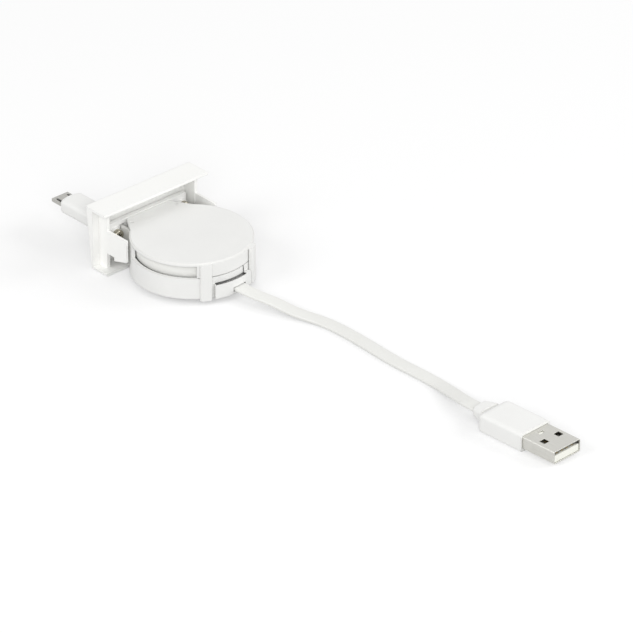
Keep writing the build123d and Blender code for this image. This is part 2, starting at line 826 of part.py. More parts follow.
# Large plug's overmoulded body: a grip whose corners and shoulder round off towards the lead
with BuildPart() as wide_plug_body:
    with BuildSketch(wide_plug_plan.offset(-wide_plug_body_height / 2)):
        with Locations((0, wide_plug_relief_length)):
            Rectangle(wide_plug_body_width, wide_plug_body_length, align=(Align.CENTER, Align.MIN))
        fillet(vertices().group_by(Axis.Y)[0], wide_plug_body_corner)
    extrude(amount=wide_plug_body_height)
    with BuildSketch(wide_plug_profile):
        with Locations((wide_plug_relief_length, -wide_plug_body_height / 2)):
            Rectangle(wide_plug_body_length, wide_plug_body_height, align=(Align.MIN, Align.MIN))
        fillet(vertices().group_by(Axis.X)[0].sort_by(Axis.Y)[-1], wide_plug_shoulder)
    extrude(amount=wide_plug_body_width, both=True, mode=Mode.INTERSECT)
    upper_edges = edges().filter_by(
        lambda edge: wide_plug_plan.to_local_coords(edge.center()).Z > wide_plug_body_height / 6
    )
    grip_edges = upper_edges.filter_by(
        lambda edge: abs(wide_plug_plan.to_local_coords(edge.center()).X) > wide_plug_body_width / 4
        and wide_plug_plan.to_local_coords(edge.center()).Y < wide_plug_front - wide_plug_body_radius
    )
    fillet(grip_edges, wide_plug_body_radius)
    foot_edges = faces().sort_by(Axis.Z)[0].edges().filter_by(
        lambda edge: wide_plug_plan.to_local_coords(edge.center()).Y < wide_plug_front - wide_plug_body_radius
    )
    chamfer(foot_edges, wide_plug_foot_edge)
    with BuildSketch(wide_plug_section.offset(wide_plug_front)):
        RectangleRounded(
            wide_plug_shell_width + 2 * wide_plug_shell_fit,
            wide_plug_shell_height + 2 * wide_plug_shell_fit,
            wide_plug_shell_corner + wide_plug_shell_fit,
        )
    extrude(amount=-wide_plug_shell_root, mode=Mode.SUBTRACT)

# Large plug's shell: folded plated sheet with two square windows on each side and a locking hole
with BuildPart() as wide_plug_shell:
    with BuildSketch(wide_plug_section.offset(wide_plug_front - wide_plug_shell_root)):
        RectangleRounded(wide_plug_shell_width, wide_plug_shell_height, wide_plug_shell_corner)
        RectangleRounded(
            wide_plug_shell_width - 2 * wide_plug_shell_wall,
            wide_plug_shell_height - 2 * wide_plug_shell_wall,
            wide_plug_shell_corner - wide_plug_shell_wall,
            mode=Mode.SUBTRACT,
        )
    extrude(amount=wide_plug_shell_root + wide_plug_shell_reach)
    with BuildSketch(wide_plug_plan):
        with Locations((0, wide_plug_front + wide_plug_window_place)):
            with GridLocations(wide_plug_window_spacing, 1, 2, 1):
                Rectangle(wide_plug_window, wide_plug_window)
    extrude(amount=wide_plug_shell_height, both=True, mode=Mode.SUBTRACT)
    with BuildSketch(wide_plug_plan):
        with Locations((0, wide_plug_front + wide_plug_lock_place)):
            Rectangle(wide_plug_lock_width, wide_plug_lock_length)
    extrude(amount=wide_plug_shell_height, mode=Mode.SUBTRACT)

# Large plug's tongue: insulator that fills the shell's root and runs along its lower half
with BuildPart() as wide_plug_tongue:
    with BuildSketch(wide_plug_section.offset(wide_plug_front - wide_plug_shell_root)):
        RectangleRounded(wide_plug_core_width, wide_plug_core_height, wide_plug_core_corner)
    extrude(amount=wide_plug_shell_root + wide_plug_core_reach)
    with BuildSketch(wide_plug_section.offset(wide_plug_front - wide_plug_shell_root)):
        with Locations((0, -wide_plug_core_height / 2)):
            RectangleRounded(
                wide_plug_core_width,
                wide_plug_tongue_height,
                wide_plug_core_corner,
                align=(Align.CENTER, Align.MIN),
            )
    extrude(amount=wide_plug_shell_root + wide_plug_shell_reach - wide_plug_tongue_recess)

# Large plug's contacts: gilded strips along the top of the tongue
with BuildPart() as wide_plug_contacts:
    with BuildSketch(wide_plug_plan.offset(wide_plug_tongue_height - wide_plug_core_height / 2)):
        for place in wide_plug_contact_places:
            with Locations((place, wide_plug_front + wide_plug_shell_reach - wide_plug_contact_recess)):
                Rectangle(wide_plug_contact_width, wide_plug_contact_length, align=(Align.CENTER, Align.MAX))
    extrude(amount=wide_plug_contact_height)

lead_length = lead_route.wire().length
print("fixed lead: length", lead_length, "bend radii", [round(radius, 1) for radius in lead_radii])
print("fixed lead: volume", fixed_lead.part.volume, "of", lead_length * fixed_lead_width * lead_thickness)

os.makedirs("parts", exist_ok=True)

front_frame.part.label = "front_frame"
export_step(front_frame.part, "parts/front_frame.step")
reel_base.part.label = "reel_base"
export_step(reel_base.part, "parts/reel_base.step")
reel_cover.part.label = "reel_cover"
export_step(reel_cover.part, "parts/reel_cover.step")
flange_screws.part.label = "flange_screws"
export_step(flange_screws.part, "parts/flange_screws.step")
spool.part.label = "spool"
export_step(spool.part, "parts/spool.step")
lock_disc.part.label = "lock_disc"
export_step(lock_disc.part, "parts/lock_disc.step")
lock_ball.part.label = "lock_ball"
export_step(lock_ball.part, "parts/lock_ball.step")
mainspring.part.label = "mainspring"
export_step(mainspring.part, "parts/mainspring.step")
wound_lead.part.label = "wound_lead"
export_step(wound_lead.part, "parts/wound_lead.step")
lead_coil.part.label = "lead_coil"
export_step(lead_coil.part, "parts/lead_coil.step")
plug_lead.part.label = "plug_lead"
export_step(plug_lead.part, "parts/plug_lead.step")
plug_relief.part.label = "plug_relief"
export_step(plug_relief.part, "parts/plug_relief.step")
plug_body.part.label = "plug_body"
export_step(plug_body.part, "parts/plug_body.step")
plug_shell.part.label = "plug_shell"
export_step(plug_shell.part, "parts/plug_shell.step")
plug_tongue.part.label = "plug_tongue"
export_step(plug_tongue.part, "parts/plug_tongue.step")
plug_contacts.part.label = "plug_contacts"
export_step(plug_contacts.part, "parts/plug_contacts.step")
plug_latches.part.label = "plug_latches"
export_step(plug_latches.part, "parts/plug_latches.step")
fixed_lead.part.label = "fixed_lead"
export_step(fixed_lead.part, "parts/fixed_lead.step")
wide_plug_relief.part.label = "wide_plug_relief"
export_step(wide_plug_relief.part, "parts/wide_plug_relief.step")
wide_plug_body.part.label = "wide_plug_body"
export_step(wide_plug_body.part, "parts/wide_plug_body.step")
wide_plug_shell.part.label = "wide_plug_shell"
export_step(wide_plug_shell.part, "parts/wide_plug_shell.step")
wide_plug_tongue.part.label = "wide_plug_tongue"
export_step(wide_plug_tongue.part, "parts/wide_plug_tongue.step")
wide_plug_contacts.part.label = "wide_plug_contacts"
export_step(wide_plug_contacts.part, "parts/wide_plug_contacts.step")
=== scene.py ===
from math import cos, pi, radians, sin

import bmesh
import bpy
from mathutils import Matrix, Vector


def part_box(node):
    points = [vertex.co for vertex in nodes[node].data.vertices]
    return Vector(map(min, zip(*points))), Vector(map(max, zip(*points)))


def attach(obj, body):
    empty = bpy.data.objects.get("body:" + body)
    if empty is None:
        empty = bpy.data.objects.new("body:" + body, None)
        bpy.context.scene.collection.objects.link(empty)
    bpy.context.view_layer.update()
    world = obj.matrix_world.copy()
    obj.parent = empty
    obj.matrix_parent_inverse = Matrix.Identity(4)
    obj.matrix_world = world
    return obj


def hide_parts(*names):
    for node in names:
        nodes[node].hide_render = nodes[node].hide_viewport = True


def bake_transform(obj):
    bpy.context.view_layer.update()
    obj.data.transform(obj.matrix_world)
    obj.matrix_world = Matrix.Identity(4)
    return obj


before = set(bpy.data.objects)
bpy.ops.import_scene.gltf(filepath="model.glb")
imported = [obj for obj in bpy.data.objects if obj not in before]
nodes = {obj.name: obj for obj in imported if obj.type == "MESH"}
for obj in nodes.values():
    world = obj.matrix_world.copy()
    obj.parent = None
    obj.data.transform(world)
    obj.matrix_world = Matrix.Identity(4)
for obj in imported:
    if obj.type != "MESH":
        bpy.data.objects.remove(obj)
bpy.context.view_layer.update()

# View: the object is seen from behind the reel and from above, through a very long lens
# that stands far off, so that parallel edges stay nearly parallel.
camera_place = Vector((1.3634, 1.5912, 1.1751))
camera_back = Vector((0.58083, 0.64506, 0.49653))
camera_lens = 414.3
camera_sensor = 36.0
camera_reach = 100.0
camera_data = bpy.data.cameras.new("view_camera")
camera_data.lens = camera_lens
camera_data.sensor_width = camera_sensor
camera_data.clip_end = camera_reach
camera = bpy.data.objects.new("view_camera", camera_data)
camera.location = camera_place
camera.rotation_euler = camera_back.to_track_quat("Z", "Y").to_euler()
bpy.context.scene.collection.objects.link(camera)
bpy.context.scene.camera = camera
bpy.context.scene.view_settings.view_transform = "Standard"

# Front frame: one moulding in white ABS with a leaning face, deep walls and two side arms.
# It snaps into an insert opening, and its polished mould leaves it smooth and bright.
mm = 0.001
edge_samples = 6
relief_strength = 0.5


def linear(colour):
    """Linear red, green, blue and alpha of an sRGB hex colour."""
    values = [int(colour[place:place + 2], 16) / 255 for place in (1, 3, 5)]
    return [v / 12.92 if v <= 0.04045 else ((v + 0.055) / 1.055) ** 2.4 for v in values] + [1.0]


def add_node(tree, kind, inputs=None, **settings):
    """One node with its settings, and its inputs set to values or linked to other nodes' outputs."""
    node = tree.nodes.new(kind)
    for name, value in settings.items():
        setattr(node, name, value)
    for name, value in (inputs or {}).items():
        if isinstance(value, bpy.types.NodeSocket):
            tree.links.new(value, node.inputs[name])
        else:
            node.inputs[name].default_value = value
    return node


def new_material(name):
    """An empty material and its node tree."""
    material = bpy.data.materials.new(name)
    material.use_nodes = True
    material.node_tree.nodes.clear()
    return material, material.node_tree


def finish_node(name, material):
    """Gives a solid of the frame its material."""
    nodes[name].data.materials.clear()
    nodes[name].data.materials.append(material)


def moulded_plastic(name, light, shade, mottle_size, grain_size, grain_depth, roughness, edge):
    """Moulded plastic: a slightly uneven tone, a fine grain from the mould and softly rounded edges."""
    gloss_spread = 0.06
    plastic_ior = 1.53
    material, tree = new_material(name)
    place = add_node(tree, "ShaderNodeTexCoord").outputs["Object"]
    mottle = add_node(
        tree,
        "ShaderNodeTexNoise",
        {"Vector": place, "Scale": 1 / mottle_size, "Detail": 2.0},
    )
    grain = add_node(
        tree,
        "ShaderNodeTexNoise",
        {"Vector": place, "Scale": 1 / grain_size, "Detail": 1.0},
    )
    tone = add_node(
        tree,
        "ShaderNodeMixRGB",
        {"Fac": mottle.outputs["Fac"], "Color1": linear(light), "Color2": linear(shade)},
    )
    gloss = add_node(
        tree,
        "ShaderNodeMapRange",
        {
            "Value": grain.outputs["Fac"],
            "To Min": roughness - gloss_spread,
            "To Max": roughness + gloss_spread,
        },
    )
    rounded = add_node(tree, "ShaderNodeBevel", {"Radius": edge}, samples=edge_samples)
    relief = add_node(
        tree,
        "ShaderNodeBump",
        {
            "Height": grain.outputs["Fac"],
            "Distance": grain_depth,
            "Strength": relief_strength,
            "Normal": rounded.outputs["Normal"],
        },
    )
    surface = add_node(
        tree,
        "ShaderNodeBsdfPrincipled",
        {
            "Base Color": tone.outputs["Color"],
            "Roughness": gloss.outputs["Result"],
            "IOR": plastic_ior,
            "Normal": relief.outputs["Normal"],
        },
    )
    add_node(tree, "ShaderNodeOutputMaterial", {"Surface": surface.outputs["BSDF"]})
    return material


# Polished white ABS: bright and even, with broad soft highlights and a faint warm cast that gathers
# where light passes from wall to wall inside the frame.
frame_plastic = moulded_plastic(
    "smooth_white_abs",
    light="#FAFAF8",
    shade="#F6F6F3",
    mottle_size=14.0 * mm,
    grain_size=0.5 * mm,
    grain_depth=0.004 * mm,
    roughness=0.4,
    edge=0.25 * mm,
)
finish_node("front_frame", frame_plastic)

# Reel base: a round cup with its flange, neck and outlet lip, moulded in one piece in white ABS.
# Its mould was spark-eroded, which leaves it greyer and more matt than the frame.
shut_in_samples = 8


def shut_in(tree, reach, narrow, wide, only_local):
    """How far faces are shut in by what lies within a reach, as a mask for painted shade: 1 in a narrow
    place, 0 in a wide one.
    """
    openness = add_node(
        tree,
        "ShaderNodeAmbientOcclusion",
        {"Distance": reach},
        samples=shut_in_samples,
        only_local=only_local,
    )
    share = add_node(
        tree,
        "ShaderNodeMapRange",
        {
            "Value": openness.outputs["AO"],
            "From Min": narrow,
            "From Max": wide,
            "To Min": 1.0,
            "To Max": 0.0,
        },
    )
    return share.outputs["Result"]


def lay_painted_tone(material, share, colour):
    """Lays painted shade over a material's own colour, as far as a share from 0 to 1 says."""
    tree = material.node_tree
    base_colour = tree.nodes["Principled BSDF"].inputs["Base Color"]
    toned = add_node(
        tree,
        "ShaderNodeMixRGB",
        {"Fac": share, "Color1": base_colour.links[0].from_socket, "Color2": linear(colour)},
    )
    tree.links.new(toned.outputs["Color"], base_colour)


reel_plastic = moulded_plastic(
    "satin_white_abs",
    light="#EFEFED",
    shade="#E9E9E7",
    mottle_size=12.0 * mm,
    grain_size=0.35 * mm,
    grain_depth=0.010 * mm,
    roughness=0.55,
    edge=0.25 * mm,
)

# The vent of its outlet is a narrow slot that looks nearly black, so shade is painted into its shut-in
# faces.
vent_start = 33.0 * mm
vent_reach = 2.5 * mm
vent_narrow = 0.42
vent_wide = 0.52
painted_vent_shade = "#15120F"
tree = reel_plastic.node_tree
place = add_node(tree, "ShaderNodeTexCoord").outputs["Object"]
along = add_node(tree, "ShaderNodeSeparateXYZ", {"Vector": place}).outputs["Y"]
in_outlet = add_node(tree, "ShaderNodeMath", {0: along, 1: vent_start}, operation="GREATER_THAN")
in_vent = add_node(
    tree,
    "ShaderNodeMath",
    {0: in_outlet.outputs["Value"], 1: shut_in(tree, vent_reach, vent_narrow, vent_wide, only_local=True)},
    operation="MULTIPLY",
)
lay_painted_tone(reel_plastic, in_vent.outputs["Value"], painted_vent_shade)
finish_node("reel_base", reel_plastic)

# Spool and lock disc: they turn on the centre post, and are moulded in black acetal.
# Acetal is slippery and waxy, so it keeps a dull sheen, and the reel's gaps look dark behind it.
spool_plastic = moulded_plastic(
    "waxy_black_acetal",
    light="#33312E",
    shade="#2A2825",
    mottle_size=8.0 * mm,
    grain_size=0.4 * mm,
    grain_depth=0.004 * mm,
    roughness=0.45,
    edge=0.2 * mm,
)
finish_node("spool", spool_plastic)
finish_node("lock_disc", spool_plastic)

# Mainspring: a flat strip of tempered spring steel, hooked in the post's slot at its inner end
# and wound out to the wall of the spool's well. Tempering leaves it dark grey.


def rolled_metal(name, light, shade, streak_size, streak_depth, roughness, edge):
    """Worked metal: fine streaks along the way it was rolled, drawn or ground, and soft edges."""
    streak_stretch = (1.0, 0.08, 1.0)
    gloss_spread = 0.08
    material, tree = new_material(name)
    place = add_node(tree, "ShaderNodeTexCoord").outputs["Object"]
    rolled = add_node(tree, "ShaderNodeMapping", {"Vector": place, "Scale": streak_stretch})
    streaks = add_node(
        tree,
        "ShaderNodeTexNoise",
        {"Vector": rolled.outputs["Vector"], "Scale": 1 / streak_size, "Detail": 3.0},
    )
    tone = add_node(
        tree,
        "ShaderNodeMixRGB",
        {"Fac": streaks.outputs["Fac"], "Color1": linear(light), "Color2": linear(shade)},
    )
    gloss = add_node(
        tree,
        "ShaderNodeMapRange",
        {
            "Value": streaks.outputs["Fac"],
            "To Min": roughness - gloss_spread,
            "To Max": roughness + gloss_spread,
        },
    )
    rounded = add_node(tree, "ShaderNodeBevel", {"Radius": edge}, samples=edge_samples)
    relief = add_node(
        tree,
        "ShaderNodeBump",
        {
            "Height": streaks.outputs["Fac"],
            "Distance": streak_depth,
            "Strength": relief_strength,
            "Normal": rounded.outputs["Normal"],
        },
    )
    surface = add_node(
        tree,
        "ShaderNodeBsdfPrincipled",
        {
            "Base Color": tone.outputs["Color"],
            "Roughness": gloss.outputs["Result"],
            "Metallic": 1.0,
            "Normal": relief.outputs["Normal"],
        },
    )
    add_node(tree, "ShaderNodeOutputMaterial", {"Surface": surface.outputs["BSDF"]})
    return material


spring_steel = rolled_metal(
    "tempered_spring_steel",
    light="#5F5E5C",
    shade="#4D4C4A",
    streak_size=0.3 * mm,
    streak_depth=0.003 * mm,
    roughness=0.32,
    edge=0.05 * mm,
)
finish_node("mainspring", spring_steel)

# Lock ball: a bearing ball of hardened steel that runs in the lock disc's track and drops into one
# of its stop pockets when the pull is let go. It is ground and polished, so it shines brightly.
ball_steel = rolled_metal(
    "polished_ball_steel",
    light="#C9C9C8",
    shade="#BDBDBC",
    streak_size=0.5 * mm,
    streak_depth=0.001 * mm,
    roughness=0.14,
    edge=0.05 * mm,
)
finish_node("lock_ball", ball_steel)

# Wound lead and lead coil: the flat lead itself, wound edge-on round the spool and laid in open
# turns under it. The retracted turns lie side by side with their rounded edges up, and spring
# outwards until they nearly touch the case.
roll_low, roll_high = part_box("wound_lead")
roll_radius = 18.8 * mm
roll_bore = 8.3 * mm
roll_turns = 9
roll_pitch = (roll_radius - roll_bore) / roll_turns
roll_sides = 120
roll_smoothing = pi / 3
turn_edge = 0.35 * mm
turn_profile = [(0.25, 0.7), (0.25, 0.3), (0.25, -0.3), (0.25, -0.7)]
facing = 0.97


def pick_faces(piece, *directions):
    """In edit mode, selects only the faces that look in one of the directions."""
    bpy.ops.mesh.select_mode(type="FACE")
    bpy.ops.mesh.select_all(action="DESELECT")
    shape = bmesh.from_edit_mesh(piece.data)
    for face in shape.faces:
        face.select_set(any(face.normal.dot(direction) > facing for direction in directions))
    bmesh.update_edit_mesh(piece.data)


bpy.ops.object.select_all(action="DESELECT")
bpy.ops.mesh.primitive_cylinder_add(
    vertices=roll_sides,
    radius=roll_radius,
    depth=roll_high.z - roll_low.z - 2 * turn_edge,
    location=(roll_low + roll_high) / 2,
)
roll = bpy.context.active_object
roll.name = "wound_lead_turns"
bpy.ops.object.transform_apply(location=True, rotation=True, scale=True)
bpy.ops.object.mode_set(mode="EDIT")
for side in (1, -1):
    pick_faces(roll, Vector((0, 0, side)))
    for width_share, rise_share in turn_profile * roll_turns:
        bpy.ops.mesh.inset(thickness=width_share * roll_pitch, depth=rise_share * turn_edge)
pick_faces(roll, Vector((0, 0, 1)), Vector((0, 0, -1)))
bpy.ops.mesh.delete(type="ONLY_FACE")
bpy.ops.mesh.select_mode(type="EDGE")
bpy.ops.mesh.select_non_manifold()
bpy.ops.mesh.bridge_edge_loops()
bpy.ops.mesh.select_all(action="SELECT")
bpy.ops.mesh.normals_make_consistent(inside=False)
bpy.ops.object.mode_set(mode="OBJECT")
bpy.ops.object.shade_smooth_by_angle(angle=roll_smoothing)

# Soft PVC jacket: a matt white with a slight mottle.
jacket_light = "#EBEBE8"
jacket_shade = "#E5E5E1"
jacket_mottle = 6.0 * mm
wound_jacket = moulded_plastic(
    "wound_soft_jacket",
    light=jacket_light,
    shade=jacket_shade,
    mottle_size=jacket_mottle,
    grain_size=0.4 * mm,
    grain_depth=0.006 * mm,
    roughness=0.5,
    edge=0.1 * mm,
)
roll.data.materials.append(wound_jacket)
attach(roll, "spool")
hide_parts("wound_lead")
finish_node("lead_coil", wound_jacket)

# Reel cover: a white ABS disc with the neck's lid, clipped over the base by two hooked clips.
# It has the base's satin finish with less shine, and two shallow ejector marks beside the flange.
cover_plastic = moulded_plastic(
    "satin_white_abs_cover",
    light="#EFEFED",
    shade="#E9E9E7",
    mottle_size=12.0 * mm,
    grain_size=0.35 * mm,
    grain_depth=0.010 * mm,
    roughness=0.55,
    edge=0.3 * mm,
)
cover_shine = 0.2
mark_places = [(9.4 * mm, -3.0 * mm, 14.85 * mm), (-9.7 * mm, -3.0 * mm, 14.85 * mm)]
mark_radius = 0.75 * mm
mark_floor = 0.4 * mark_radius
mark_depth = 0.2 * mm
tree = cover_plastic.node_tree
surface = tree.nodes["Principled BSDF"]
surface.inputs["Specular IOR Level"].default_value = cover_shine
place = add_node(tree, "ShaderNodeTexCoord").outputs["Object"]
for mark_place in mark_places:
    distance = add_node(tree, "ShaderNodeVectorMath", {0: place, 1: mark_place}, operation="DISTANCE")
    hollow = add_node(
        tree,
        "ShaderNodeMapRange",
        {"Value": distance.outputs["Value"], "From Min": mark_floor, "From Max": mark_radius},
        interpolation_type="SMOOTHSTEP",
    )
    marked = add_node(
        tree,
        "ShaderNodeBump",
        {
            "Height": hollow.outputs["Result"],
            "Distance": mark_depth,
            "Normal": surface.inputs["Normal"].links[0].from_socket,
        },
    )
    tree.links.new(marked.outputs["Normal"], surface.inputs["Normal"])

# The disc's chamfer catches more light here than the real edge does, so it is a shade greyer.
edge_middle = 14.62 * mm
edge_half = 0.21 * mm
edge_tone = "#E5E5E2"
height = add_node(tree, "ShaderNodeSeparateXYZ", {"Vector": place}).outputs["Z"]
on_edge = add_node(
    tree,
    "ShaderNodeMath",
    {0: height, 1: edge_middle, 2: edge_half},
    operation="COMPARE",
)
lay_painted_tone(cover_plastic, on_edge.outputs["Value"], edge_tone)
finish_node("reel_cover", cover_plastic)

# Flange screws: two zinc-plated steel screws with pan heads and cross recesses, which hold the
# reel's flange to the frame's bosses. A head is cold-formed, so its rim is round and its recess tapers.
screw_low, screw_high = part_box("flange_screws")
screw_head_radius = 2.0 * mm
screw_head_height = 1.6 * mm
screw_dome = 0.8 * mm
screw_dome_steps = 8
screw_dome_profile = 0.55
screw_shaft_radius = 1.05 * mm
screw_sides = 48
screw_smoothing = pi / 5
recess_span = 2.3 * mm
recess_width = 0.62 * mm
recess_depth = 1.0 * mm
recess_overshoot = 0.2 * mm
recess_taper = 0.45
recess_turn = pi / 9
head_back = screw_high.y - screw_head_height
screw_middle = (screw_low + screw_high) / 2
screw_x = screw_high.x - screw_head_radius


def only(piece):
    """Makes a piece the only one that is selected, and the active one."""
    bpy.ops.object.select_all(action="DESELECT")
    bpy.context.view_layer.objects.active = piece
    piece.select_set(True)


def cut_with(piece, cutter):
    """Cuts a cutter's shape out of a piece, and removes the cutter."""
    only(piece)
    cut = piece.modifiers.new("cut", "BOOLEAN")
    cut.operation = "DIFFERENCE"
    cut.solver = "EXACT"
    cut.object = cutter
    bpy.ops.object.modifier_apply(modifier=cut.name)
    bpy.data.objects.remove(cutter)


bpy.ops.object.select_all(action="DESELECT")
bpy.ops.mesh.primitive_cylinder_add(
    vertices=screw_sides,
    radius=screw_head_radius,
    depth=screw_head_height,
    location=(screw_x, head_back + screw_head_height / 2, screw_middle.z),
    rotation=(pi / 2, 0, 0),
)
screws = bpy.context.active_object
screws.name = "pan_head_screws"
bpy.ops.object.transform_apply(location=True, rotation=True, scale=True)
bpy.ops.object.mode_set(mode="EDIT")
pick_faces(screws, Vector((0, -1, 0)))
bpy.ops.mesh.inset(thickness=screw_head_radius - screw_shaft_radius)
bpy.ops.mesh.extrude_region_move(TRANSFORM_OT_translate={"value": (0, screw_low.y - head_back, 0)})
pick_faces(screws, Vector((0, 1, 0)))
bpy.ops.mesh.region_to_loop()
bpy.ops.mesh.bevel(
    offset=screw_dome,
    segments=screw_dome_steps,
    profile=screw_dome_profile,
    affect="EDGES",
)
bpy.ops.object.mode_set(mode="OBJECT")
for turn in (0.0, pi / 2):
    bpy.ops.object.select_all(action="DESELECT")
    bpy.ops.mesh.primitive_cube_add(
        size=1.0,
        location=(screw_x, screw_high.y + (recess_overshoot - recess_depth) / 2, screw_middle.z),
        rotation=(0, turn + recess_turn, 0),
        scale=(recess_span, recess_depth + recess_overshoot, recess_width),
    )
    recess_arm = bpy.context.active_object
    bpy.ops.object.transform_apply(location=True, rotation=True, scale=True)
    bpy.ops.object.mode_set(mode="EDIT")
    pick_faces(recess_arm, Vector((0, -1, 0)))
    bpy.ops.transform.resize(value=(recess_taper, 1.0, recess_taper))
    bpy.ops.object.mode_set(mode="OBJECT")
    cut_with(screws, recess_arm)
only(screws)
bpy.ops.object.duplicate()
other_screw = bpy.context.active_object
bpy.ops.transform.translate(value=(-2 * screw_x, 0, 0))
bpy.ops.object.transform_apply(location=True, rotation=True, scale=True)
only(screws)
other_screw.select_set(True)
bpy.ops.object.join()
bpy.ops.object.shade_smooth_by_angle(angle=screw_smoothing)

# Zinc plating over steel: a grey metal with a warm cast and fine forming marks.
screw_steel = rolled_metal(
    "zinc_plated_screw_steel",
    light="#BDB8AA",
    shade="#A09B8D",
    streak_size=0.4 * mm,
    streak_depth=0.003 * mm,
    roughness=0.26,
    edge=0.06 * mm,
)
screws.data.materials.append(screw_steel)
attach(screws, "case")
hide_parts("flange_screws")

# Retractable lead: the flat lead stands on edge, leaves the roll at a tangent, turns into the
# plate's slot and is moulded into the small plug. It pays out behind the plug when that is pulled.
lead_width = 4.4 * mm
lead_thickness = 1.1 * mm
lead_edge = 0.35 * mm
lead_edge_steps = 5
lead_line_steps = 12
lead_smoothing = pi / 4
retractable_route = [
    (16.154, 7.465, 10.9),
    (12.4, 0.321, 10.9),
    (11.0, -2.343, 10.9),
    (11.0, -4.6, 10.9),
    (11.0, -9.357, 10.9),
]


def smooth_line(name, route):
    """Points along a smooth line that a lead lies in, from a route in millimetres."""
    curve = bpy.data.curves.new(name, "CURVE")
    curve.dimensions = "3D"
    curve.resolution_u = lead_line_steps
    spline = curve.splines.new("NURBS")
    spline.points.add(len(route) - 1)
    for point, place in zip(spline.points, route):
        point.co = (*(Vector(place) * mm), 1.0)
    spline.order_u = 3
    spline.use_endpoint_u = True
    line = bpy.data.objects.new(name, curve)
    bpy.context.scene.collection.objects.link(line)
    bpy.context.view_layer.update()
    mesh = bpy.data.meshes.new_from_object(line.evaluated_get(bpy.context.evaluated_depsgraph_get()))
    points = [vertex.co.copy() for vertex in mesh.vertices]
    bpy.data.meshes.remove(mesh)
    bpy.data.objects.remove(line)
    return points


def flat_jacket(name, points, across, upright):
    """A flat jacket with rounded edges along a line, with its distance along and around it as UV."""
    half_across = across / 2 - lead_edge
    half_upright = upright / 2 - lead_edge
    outline = []
    for corner in range(4):
        side = 1 if corner in (0, 3) else -1
        rise = 1 if corner in (0, 1) else -1
        for step in range(lead_edge_steps + 1):
            angle = (corner + step / lead_edge_steps) * pi / 2
            x = side * half_across + lead_edge * cos(angle)
            z = rise * half_upright + lead_edge * sin(angle)
            outline.append((x, z))
    shape = bmesh.new()
    uv = shape.loops.layers.uv.new("UVMap")
    rings = []
    distances = []
    distance = 0.0
    for index, point in enumerate(points):
        before = points[max(index - 1, 0)]
        after = points[min(index + 1, len(points) - 1)]
        along = (after - before).normalized()
        sideways = along.cross(Vector((0, 0, 1))).normalized()
        upward = sideways.cross(along)
        distance += (point - before).length
        distances.append(distance)
        rings.append([shape.verts.new(point + sideways * x + upward * z) for x, z in outline])
    around = [0.0]
    for first, second in zip(outline, outline[1:] + outline[:1]):
        around.append(around[-1] + (Vector(second) - Vector(first)).length)
    count = len(outline)
    for ring in range(len(points) - 1):
        for step in range(count):
            corners = [(ring, step), (ring, step + 1), (ring + 1, step + 1), (ring + 1, step)]
            face = shape.faces.new([rings[row][column % count] for row, column in corners])
            for loop, (row, column) in zip(face.loops, corners):
                loop[uv].uv = (distances[row], around[column])
    shape.faces.new(rings[0])
    shape.faces.new(rings[-1])
    bmesh.ops.recalc_face_normals(shape, faces=shape.faces)
    mesh = bpy.data.meshes.new(name)
    shape.to_mesh(mesh)
    shape.free()
    jacket = bpy.data.objects.new(name, mesh)
    bpy.context.scene.collection.objects.link(jacket)
    only(jacket)
    bpy.ops.object.shade_smooth_by_angle(angle=lead_smoothing)
    return jacket


# Extruded soft jacket: matt white with faint lines drawn along it by the die and a slight mottle.
# The die's lines are finer than this on the real lead, and are drawn coarse enough to show.
jacket_line = 0.5 * mm
jacket_stretch = (0.04, 1.0, 1.0)
jacket_depth = 0.006 * mm
jacket_relief = 0.6
jacket_smoothest = 0.42
jacket_roughest = 0.58
jacket_ior = 1.5
lead_jacket, tree = new_material("extruded_soft_jacket")
place = add_node(tree, "ShaderNodeTexCoord").outputs["UV"]
drawn = add_node(tree, "ShaderNodeMapping", {"Vector": place, "Scale": jacket_stretch})
lines = add_node(
    tree,
    "ShaderNodeTexNoise",
    {"Vector": drawn.outputs["Vector"], "Scale": 1 / jacket_line, "Detail": 2.0},
)
mottle = add_node(
    tree,
    "ShaderNodeTexNoise",
    {"Vector": place, "Scale": 1 / jacket_mottle, "Detail": 3.0},
)
tone = add_node(
    tree,
    "ShaderNodeMixRGB",
    {"Fac": mottle.outputs["Fac"], "Color1": linear(jacket_light), "Color2": linear(jacket_shade)},
)
gloss = add_node(
    tree,
    "ShaderNodeMapRange",
    {"Value": lines.outputs["Fac"], "To Min": jacket_smoothest, "To Max": jacket_roughest},
)
relief = add_node(
    tree,
    "ShaderNodeBump",
    {"Height": lines.outputs["Fac"], "Distance": jacket_depth, "Strength": jacket_relief},
)
surface = add_node(
    tree,
    "ShaderNodeBsdfPrincipled",
    {
        "Base Color": tone.outputs["Color"],
        "Roughness": gloss.outputs["Result"],
        "IOR": jacket_ior,
        "Normal": relief.outputs["Normal"],
    },
)
add_node(tree, "ShaderNodeOutputMaterial", {"Surface": surface.outputs["BSDF"]})

retractable_line = smooth_line("retractable_lead_line", retractable_route)
retractable_lead = flat_jacket("retractable_lead_jacket", retractable_line, lead_thickness, lead_width)
retractable_lead.data.materials.append(lead_jacket)
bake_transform(retractable_lead)
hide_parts("plug_lead")

# Small plug's grip and strain relief: white soft PVC, moulded over the lead and the shell's root.
# The mould is lightly blasted, so the grip has a soft satin shine with no sharp glints.
overmould = moulded_plastic(
    "overmoulded_white_pvc",
    light="#F1F1EF",
    shade="#EBEBE9",
    mottle_size=9.0 * mm,
    grain_size=0.4 * mm,
    grain_depth=0.006 * mm,
    roughness=0.48,
    edge=0.3 * mm,
)
finish_node("plug_relief", overmould)
finish_node("plug_body", overmould)

